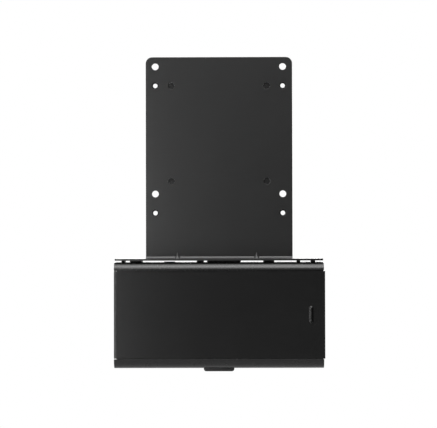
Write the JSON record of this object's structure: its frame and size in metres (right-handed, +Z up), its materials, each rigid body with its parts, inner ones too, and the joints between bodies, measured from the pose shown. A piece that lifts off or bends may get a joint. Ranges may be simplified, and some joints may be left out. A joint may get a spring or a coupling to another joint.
{
  "type": "computer holder bracket",
  "caption": "Black sheet-steel bracket: an upright plate with monitor hole patterns, a small shelf, and below it a covered bay for a power brick with a sliding front cover and a release button.",
  "frame": {"origin": "centre of the 100 mm square hole pattern, on the rear face of the mounting plate", "axes": "+Z up the plate, +Y to the rear, out of the plate's rear face, +X to the right seen from the front"},
  "size_m": [0.1598, 0.0534, 0.2436],
  "materials": {
    "black_paint": "semi-matt black powder coat with a fine texture",
    "zinc_steel": "blackened zinc-plated steel",
    "spring_steel": "bright drawn spring wire",
    "black_nylon": "moulded black nylon",
    "black_foam": "closed-cell black foam"
  },
  "bodies": {
    "bracket": {"button_spring": "spring_steel", "clinch_nut_lower_left": "zinc_steel", "clinch_nut_lower_right": "zinc_steel", "clinch_nut_upper_left": "zinc_steel", "clinch_nut_upper_right": "zinc_steel", "clinch_stud_lower_left": "zinc_steel", "clinch_stud_lower_right": "zinc_steel", "clinch_stud_upper_left": "zinc_steel", "clinch_stud_upper_right": "zinc_steel", "foam_pad_left": "black_foam", "foam_pad_right": "black_foam", "holder_tray": "black_paint", "latch_bracket": "zinc_steel", "latch_rivet_left": "zinc_steel", "latch_rivet_right": "zinc_steel", "lower_glide_left": "black_nylon", "lower_glide_right": "black_nylon", "mounting_plate": "black_paint", "shelf_rivet_centre": "zinc_steel", "shelf_rivet_inner_left": "zinc_steel", "shelf_rivet_inner_right": "zinc_steel", "shelf_rivet_left": "zinc_steel", "shelf_rivet_right": "zinc_steel", "spacer_centre": "black_paint", "spacer_centre_left": "black_paint", "spacer_end_left": "black_paint", "spacer_end_right": "black_paint", "spacer_inner_left": "black_paint", "spacer_inner_right": "black_paint", "spacer_outer_left": "black_paint", "spacer_outer_right": "black_paint", "stop_rivet": "zinc_steel", "travel_stop": "zinc_steel", "upper_glide_left": "black_nylon", "upper_glide_right": "black_nylon"},
    "cover": {"sliding_cover": "black_paint"},
    "button": {"release_button": "black_nylon"}
  },
  "joints": [
    {"name": "cover_slide", "type": "slide", "parent": "bracket", "child": "cover", "axis": [1, 0, 0], "range_m": [0, 0.11]},
    {"name": "button_press", "type": "slide", "parent": "bracket", "child": "button", "axis": [0, 0, 1], "range_m": [0, 0.0022], "stiffness_N_per_m": 250, "springref_m": -0.004, "deforming": ["button_spring"]}
  ]
}
